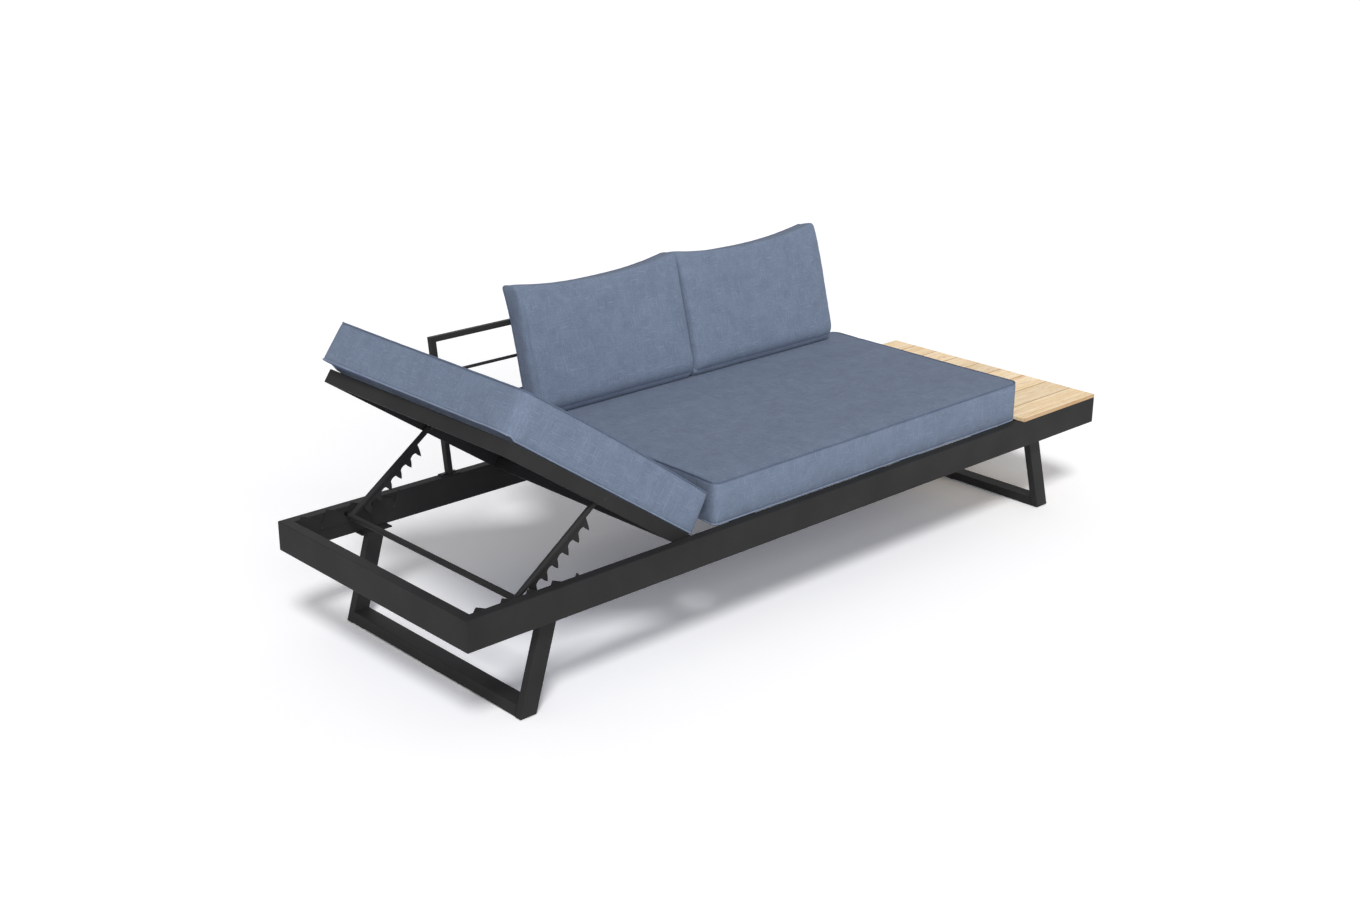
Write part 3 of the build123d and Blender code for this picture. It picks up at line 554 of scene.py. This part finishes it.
def press_seat(points):
    """The seat cushion is fuller towards the table, and its corner at the panel is pushed out."""
    half_length, half_width, thickness = seat_size[0] / 2, seat_size[1] / 2, seat_size[2]
    moved = points.copy()
    along, across = points[:, 0] / half_length, points[:, 1] / half_width
    height = np.clip(points[:, 2] / thickness, 0, 1)
    fuller, pushed_out = 3 * mm, 8 * mm
    moved[:, 2] += fuller * np.clip(along, 0, 1) * height
    corner = (np.clip(-along, 0, 1) * np.clip(-across, 0, 1)) ** 6
    moved[:, 0] -= pushed_out * corner * (1 - height / 2)
    return moved


def press_panel(points):
    """The panel's cushion leans back at the heel, and its far corner overhangs the tip rail."""
    half_length, half_width, thickness = panel_size[0] / 2, panel_size[1] / 2, panel_size[2]
    moved = points.copy()
    along, across = points[:, 0] / half_length, points[:, 1] / half_width
    height = np.clip(points[:, 2] / thickness, 0, 1)
    heel_lean, low_overhang, high_overhang = 11 * mm, 30 * mm, 24 * mm
    tip_lift, lift_start, lift_run, crown, slope = 8 * mm, 34 * mm, 52 * mm, 6 * mm, 2 * mm
    heel = np.clip((along - 0.8) / 0.2, 0, 1) ** 2
    moved[:, 0] -= heel_lean * heel * height
    far = np.clip((across + 1) / 2, 0, 1)
    tip = np.clip((-along - 0.75) / 0.25, 0, 1)
    moved[:, 0] -= tip * far * (low_overhang * (1 - height) + high_overhang * height)
    past = np.clip((-moved[:, 0] - half_length + lift_start) / lift_run, 0, 1)
    moved[:, 2] += tip_lift * past * far * (1 - height)
    moved[:, 2] += (crown * (1 - along ** 2) - slope * along) * height
    return moved


def pressed_back(pinches, rounds, bulges):
    """A back cushion sags between its upper corners, which stand up like ears and are pinched.

    Its front rounds over to the bottom and, by its own radius, to each end. The ends bulge. What
    differs between the ends is given for the left and the right one.
    """
    ear_rise, ear_reach, sag, crease, bottom_round = 9 * mm, 9 * mm, 6 * mm, 3 * mm, 58 * mm

    def press(points):
        half_length, half_width, thickness = back_size[0] / 2, back_size[1] / 2, back_size[2]
        moved = points.copy()
        along = np.clip(points[:, 0] / half_length, -1, 1)
        up = np.clip(points[:, 1] / half_width, 0, 1)
        ends = np.abs(along)
        pinch, round_off, bulge = (np.where(along < 0, left, right)
                                   for left, right in (pinches, rounds, bulges))
        moved[:, 2] *= 1 - pinch * ends ** 5 * up ** 5
        moved[:, 1] += (ear_rise * ends ** 3 - sag * (1 - along ** 2)) * up ** 3
        end, front = rounded_over(half_length - np.abs(moved[:, 0]), thickness - moved[:, 2],
                                  crease + round_off * (1 - up ** 3))
        moved[:, 0] = np.sign(moved[:, 0]) * (half_length - end)
        bottom, front = rounded_over(half_width + moved[:, 1], front, bottom_round)
        moved[:, 1], moved[:, 2] = bottom - half_width, thickness - front
        moved[:, 0] += along * ends ** 2 * (
            ear_reach * ends ** 3 * up ** 4 + bulge * (1 - up ** 3))
        return moved
    return press


def rest_panel(points):
    """Keeps the cushion's underside on the panel's slats, and lets it sag in the open bay.

    Past the tip it stays high enough to lie over the head rail when the panel is down.
    """
    bay_middle, bay_half_length, bay_half_width = 265 * mm, 165 * mm, 300 * mm
    deepest, foam, rail_room, before_rail, lift_run = 13 * mm, 40 * mm, 4 * mm, 24 * mm, 20 * mm
    outward = np.array((sin(panel_lean), 0, cos(panel_lean)))
    uphill = np.array((-cos(panel_lean), 0, sin(panel_lean)))
    from_hinge = points - np.array(hinge)
    height = from_hinge @ outward - panel_half_depth - clearance
    up_panel = from_hinge @ uphill
    along = (up_panel - bay_middle) / bay_half_length
    across = (points[:, 1] - middle_y) / bay_half_width
    bay = np.clip(1 - along ** 2, 0, 1) ** 2 * np.clip(1 - across ** 2, 0, 1)
    sag = deepest * bay * np.clip(1 - height / foam, 0, 1)
    over_rail = eased((up_panel - (hinge.x - head_rail.x) + before_rail) / lift_run)
    lift = over_rail * (head_rail.z + rail_room - hinge.z - panel_half_depth - clearance)
    lift = np.maximum(lift - height, 0) * (over_rail > 0)
    return points - (np.minimum(height, 0) + sag - lift)[:, None] * outward


def rest_seat(points):
    """Keeps the seat cushion on its slats, off the planks' edge and close to its solid's left end.

    It bulges over the planks and at its front left corner, and its top goes down softly to where
    the back cushions stand on it.
    """
    plank_gap, bulge_rise, end_swell, corner_swell = 0.6 * mm, 22 * mm, 3 * mm, 8 * mm
    corner_start, corner_run = 280 * mm, 60 * mm
    slope_start, slope_run, slope_depth = 20 * mm, 220 * mm, 12 * mm
    moved = points.copy()
    moved[:, 2] = np.maximum(points[:, 2], seat_deck + clearance)
    over_planks = eased((moved[:, 2] - plank_high.z) / bulge_rise)
    moved[:, 0] = np.minimum(
        moved[:, 0], plank_low.x - plank_gap + table_overhang * over_planks)
    at_corner = np.clip((middle_y - corner_start - points[:, 1]) / corner_run, 0, 1)
    moved[:, 0] = np.maximum(moved[:, 0], seat_low.x - end_swell - corner_swell * at_corner)
    pressed = eased((points[:, 1] - slope_start) / slope_run)
    ceiling = seat_top_under_backs - clearance + (1 - pressed) * slope_depth
    moved[:, 2] = np.minimum(moved[:, 2], ceiling)
    return moved


def rest_back(points):
    """Stands a back cushion on the seat cushion."""
    moved = points.copy()
    moved[:, 2] = np.maximum(points[:, 2], seat_top_under_backs - clearance / 2)
    return moved


# The four cushions: sizes are length, width and thickness, and corners go round as in seam_loop
seat_low, seat_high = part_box("seat_cushion")
table_overhang = 14 * mm
seat_size = (seat_high.x - seat_low.x + table_overhang, 738 * mm, 116 * mm)
panel_size = (698 * mm, 726 * mm, 115 * mm)
back_below_rail, back_above_rail = 284 * mm, 88 * mm
back_size = (583.25 * mm, back_below_rail + back_above_rail, 74 * mm)
lean_panel = Matrix.Rotation(panel_lean, 4, "Y")
lean_back = Matrix.Rotation(-back_lean, 4, "X")
cloth_flat = woven_olefin("woven_olefin", (0, 0, 0))
cloth_panel = woven_olefin("woven_olefin_panel", (0, panel_lean, 0))
cloth_back = woven_olefin("woven_olefin_back", (-back_lean, 0, 0))
# The piping is the covers' own cloth in two copies. This darker one is painted shade: it draws the
# seam's shadow along the upper seams and along the back cushions' bottom seam.
shade_painted_cord = woven_olefin("woven_olefin_upper_piping_painted_shade", (0, 0, 0),
                         ("4E586C", "566177", "5F6A80", "6C788D"))
# This paler copy is a painted highlight: the light that the cord catches along the seat's and the
# panel's lower seams.
highlight_painted_cord = woven_olefin("woven_olefin_lower_piping_painted_highlight", (0, 0, 0),
                         ("6C768A", "768297", "808CA1", "909CAF"))

cushions = [
    {
        "name": "seat_cover", "node": "seat_cushion", "body": "base_frame", "cloth": cloth_flat,
        "size": seat_size, "corners": (28 * mm, 24 * mm, 30 * mm, 22 * mm),
        "rolls": (5 * mm, 6 * mm), "swell": 9 * mm,
        "seams": ("low", "high"), "piped": {"low": highlight_painted_cord, "high": shade_painted_cord},
        "seed": (3, 1, 5),
        "draw_in": pulled_in(seat_size[0] / 2, seat_size[1] / 2, 3 * mm, 0.5 * mm, 2 * mm),
        "place": Matrix.Translation((
            (seat_low.x + seat_high.x) / 2 + 1 * mm, middle_y, seat_deck + clearance)),
        "press": press_seat, "rest": rest_seat,
    },
    {
        "name": "panel_cover", "node": "panel_cushion", "body": "head_panel", "cloth": cloth_panel,
        "size": panel_size, "corners": (12 * mm, 16 * mm, 14 * mm, 40 * mm),
        "rolls": (6 * mm, 6 * mm), "swell": 7 * mm,
        "seams": ("low", "high"), "piped": {"low": highlight_painted_cord, "high": shade_painted_cord},
        "seed": (8, 2, 1),
        "draw_in": pulled_in(panel_size[0] / 2, panel_size[1] / 2, 4 * mm, 3 * mm, 3 * mm),
        "place": Matrix.Translation(hinge) @ lean_panel @ Matrix.Translation(
            (-1 * mm - panel_size[0] / 2, 0, panel_half_depth + clearance)),
        "press": press_panel, "rest": rest_panel,
    },
]
# Where each back cushion starts along X, and the pinches, roundings and bulges of its two ends
for side, start, pinches, rounds, bulges in (
        ("left", -0.4205, (0.3, 0.2), (30 * mm, 10 * mm), (5 * mm, 0.0)),
        ("right", 0.16475, (0.2, 0.12), (14 * mm, 5 * mm), (0.0, 15 * mm))):
    cushions.append({
        "name": f"back_cover_{side}", "node": f"back_cushion_{side}", "body": "base_frame",
        "cloth": cloth_back, "size": back_size, "corners": (12 * mm,) * 4,
        "rolls": (8 * mm, 11 * mm), "swell": 10 * mm,
        "seams": ("low", "high"), "piped": {"low": shade_painted_cord},
        "seed": (11 + 4 * start, 6, 2),
        "draw_in": pulled_in(back_size[0] / 2, back_size[1] / 2, 3 * mm, 1 * mm, 12 * mm),
        "place": Matrix.Translation((start, back_contact.y, back_contact.z)) @ lean_back
        @ Matrix.Translation((back_size[0] / 2, -0.6 * mm, back_above_rail - back_size[1] / 2))
        @ Matrix.Rotation(pi / 2, 4, "X"),
        "press": pressed_back(pinches, rounds, bulges), "rest": rest_back,
    })

for cushion in cushions:
    lay_out(cushion)
for cushion in cushions:
    start_stuffing(cushion)
for number in range(1, stuffing_frames + 1):
    bpy.context.scene.frame_set(number)
for cushion in cushions:
    end_stuffing(cushion)
bpy.context.scene.frame_set(1)
for cushion in cushions:
    finish_cushion(cushion)

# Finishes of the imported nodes
coat = powder_coat("anthracite_powder_coat")
gap_edge = 0.5 * mm
planks = oiled_teak("oiled_teak_planks", abs(next_plank_low.y - plank_low.y),
                    plank_low.y - gap_edge)
glides = moulded_plastic("moulded_glide", "1D1E20")
bearings = moulded_plastic("moulded_bearing", "222326")
fasteners = black_zinc("black_zinc_fasteners")
for name, node in nodes.items():
    if name.startswith("table_plank"):
        finish = planks
    elif name == "foot_glides":
        finish = glides
    elif name.endswith(("bushes", "spacers")):
        finish = bearings
    elif name.endswith(("bolts", "nuts", "pins", "rivets")):
        finish = fasteners
    elif name.endswith(("cushion", "cushion_left", "cushion_right")):
        finish = cloth_flat
    else:
        finish = coat
    if not node.material_slots:
        node.data.materials.append(finish)
    for slot in node.material_slots:
        slot.material = finish

# A pale floor in a white room. Both look brighter to the camera than the light that they give
floor_mesh = bpy.data.meshes.new("floor")
reach = 30.0
floor_mesh.from_pydata([(-reach, -reach, 0), (reach, -reach, 0), (reach, reach, 0),
                        (-reach, reach, 0)], [], [(0, 1, 2, 3)])
floor = bpy.data.objects.new("floor", floor_mesh)
bpy.context.scene.collection.objects.link(floor)
floor_paint, tree = new_material("pale_studio_floor")
paint = add_node(tree, "BsdfDiffuse", {"Color": linear("F2F2F3")})
lift = add_node(tree, "Mix", {
    "Factor": seen_directly(tree), "A": (0, 0, 0, 1), "B": linear("8E8E8F")},
    data_type="RGBA").outputs["Result"]
brighter = add_node(tree, "BsdfDiffuse", {"Color": lift})
both = add_node(tree, "AddShader", {0: paint.outputs["BSDF"], 1: brighter.outputs["BSDF"]})
add_node(tree, "OutputMaterial", {"Surface": both.outputs["Shader"]})
floor_mesh.materials.append(floor_paint)

world = bpy.data.worlds.new("studio")
bpy.context.scene.world = world
world.use_nodes = True
tree = world.node_tree
tree.nodes.clear()
level = add_node(tree, "MapRange", {
    "Value": seen_directly(tree), "To Min": 0.35, "To Max": 1.0})
sky = add_node(tree, "Background", {"Color": (1, 1, 1, 1), "Strength": level.outputs[0]})
add_node(tree, "OutputWorld", {"Surface": sky.outputs["Background"]})

# Each lamp's power, the angle it fills in degrees, and the direction that it stands in
for name, power, spread, towards in (
        ("key", 1.7, 14, (-0.5, -0.6, 1.0)), ("front_fill", 2.1, 60, (-0.4, -0.92, 0.16))):
    light = bpy.data.lights.new(name, "SUN")
    light.energy = power
    light.angle = radians(spread)
    lamp = bpy.data.objects.new(name, light)
    lamp.rotation_euler = Vector(towards).to_track_quat("Z", "Y").to_euler()
    bpy.context.scene.collection.objects.link(lamp)

# The camera's place, turn and lens were fitted to the photograph's view
eye = (-3.248706, -3.324361, 1.996673)
yaw, pitch, roll = 0.821239317, 0.348341793, 0.00473819557
forward = Vector((cos(pitch) * cos(yaw), cos(pitch) * sin(yaw), -sin(pitch)))
level_right = forward.cross(Vector((0, 0, 1))).normalized()
level_up = level_right.cross(forward)
right = cos(roll) * level_right + sin(roll) * level_up
up = cos(roll) * level_up - sin(roll) * level_right
lens = bpy.data.cameras.new("camera")
lens.sensor_width = 36.0
lens.lens = 46.385
lens.clip_end = 100.0
camera = bpy.data.objects.new("camera", lens)
camera.matrix_world = Matrix.Translation(eye) @ Matrix(
    (right, up, -forward)).transposed().to_4x4()
bpy.context.scene.collection.objects.link(camera)
bpy.context.scene.camera = camera
bpy.context.scene.view_settings.view_transform = "Standard"
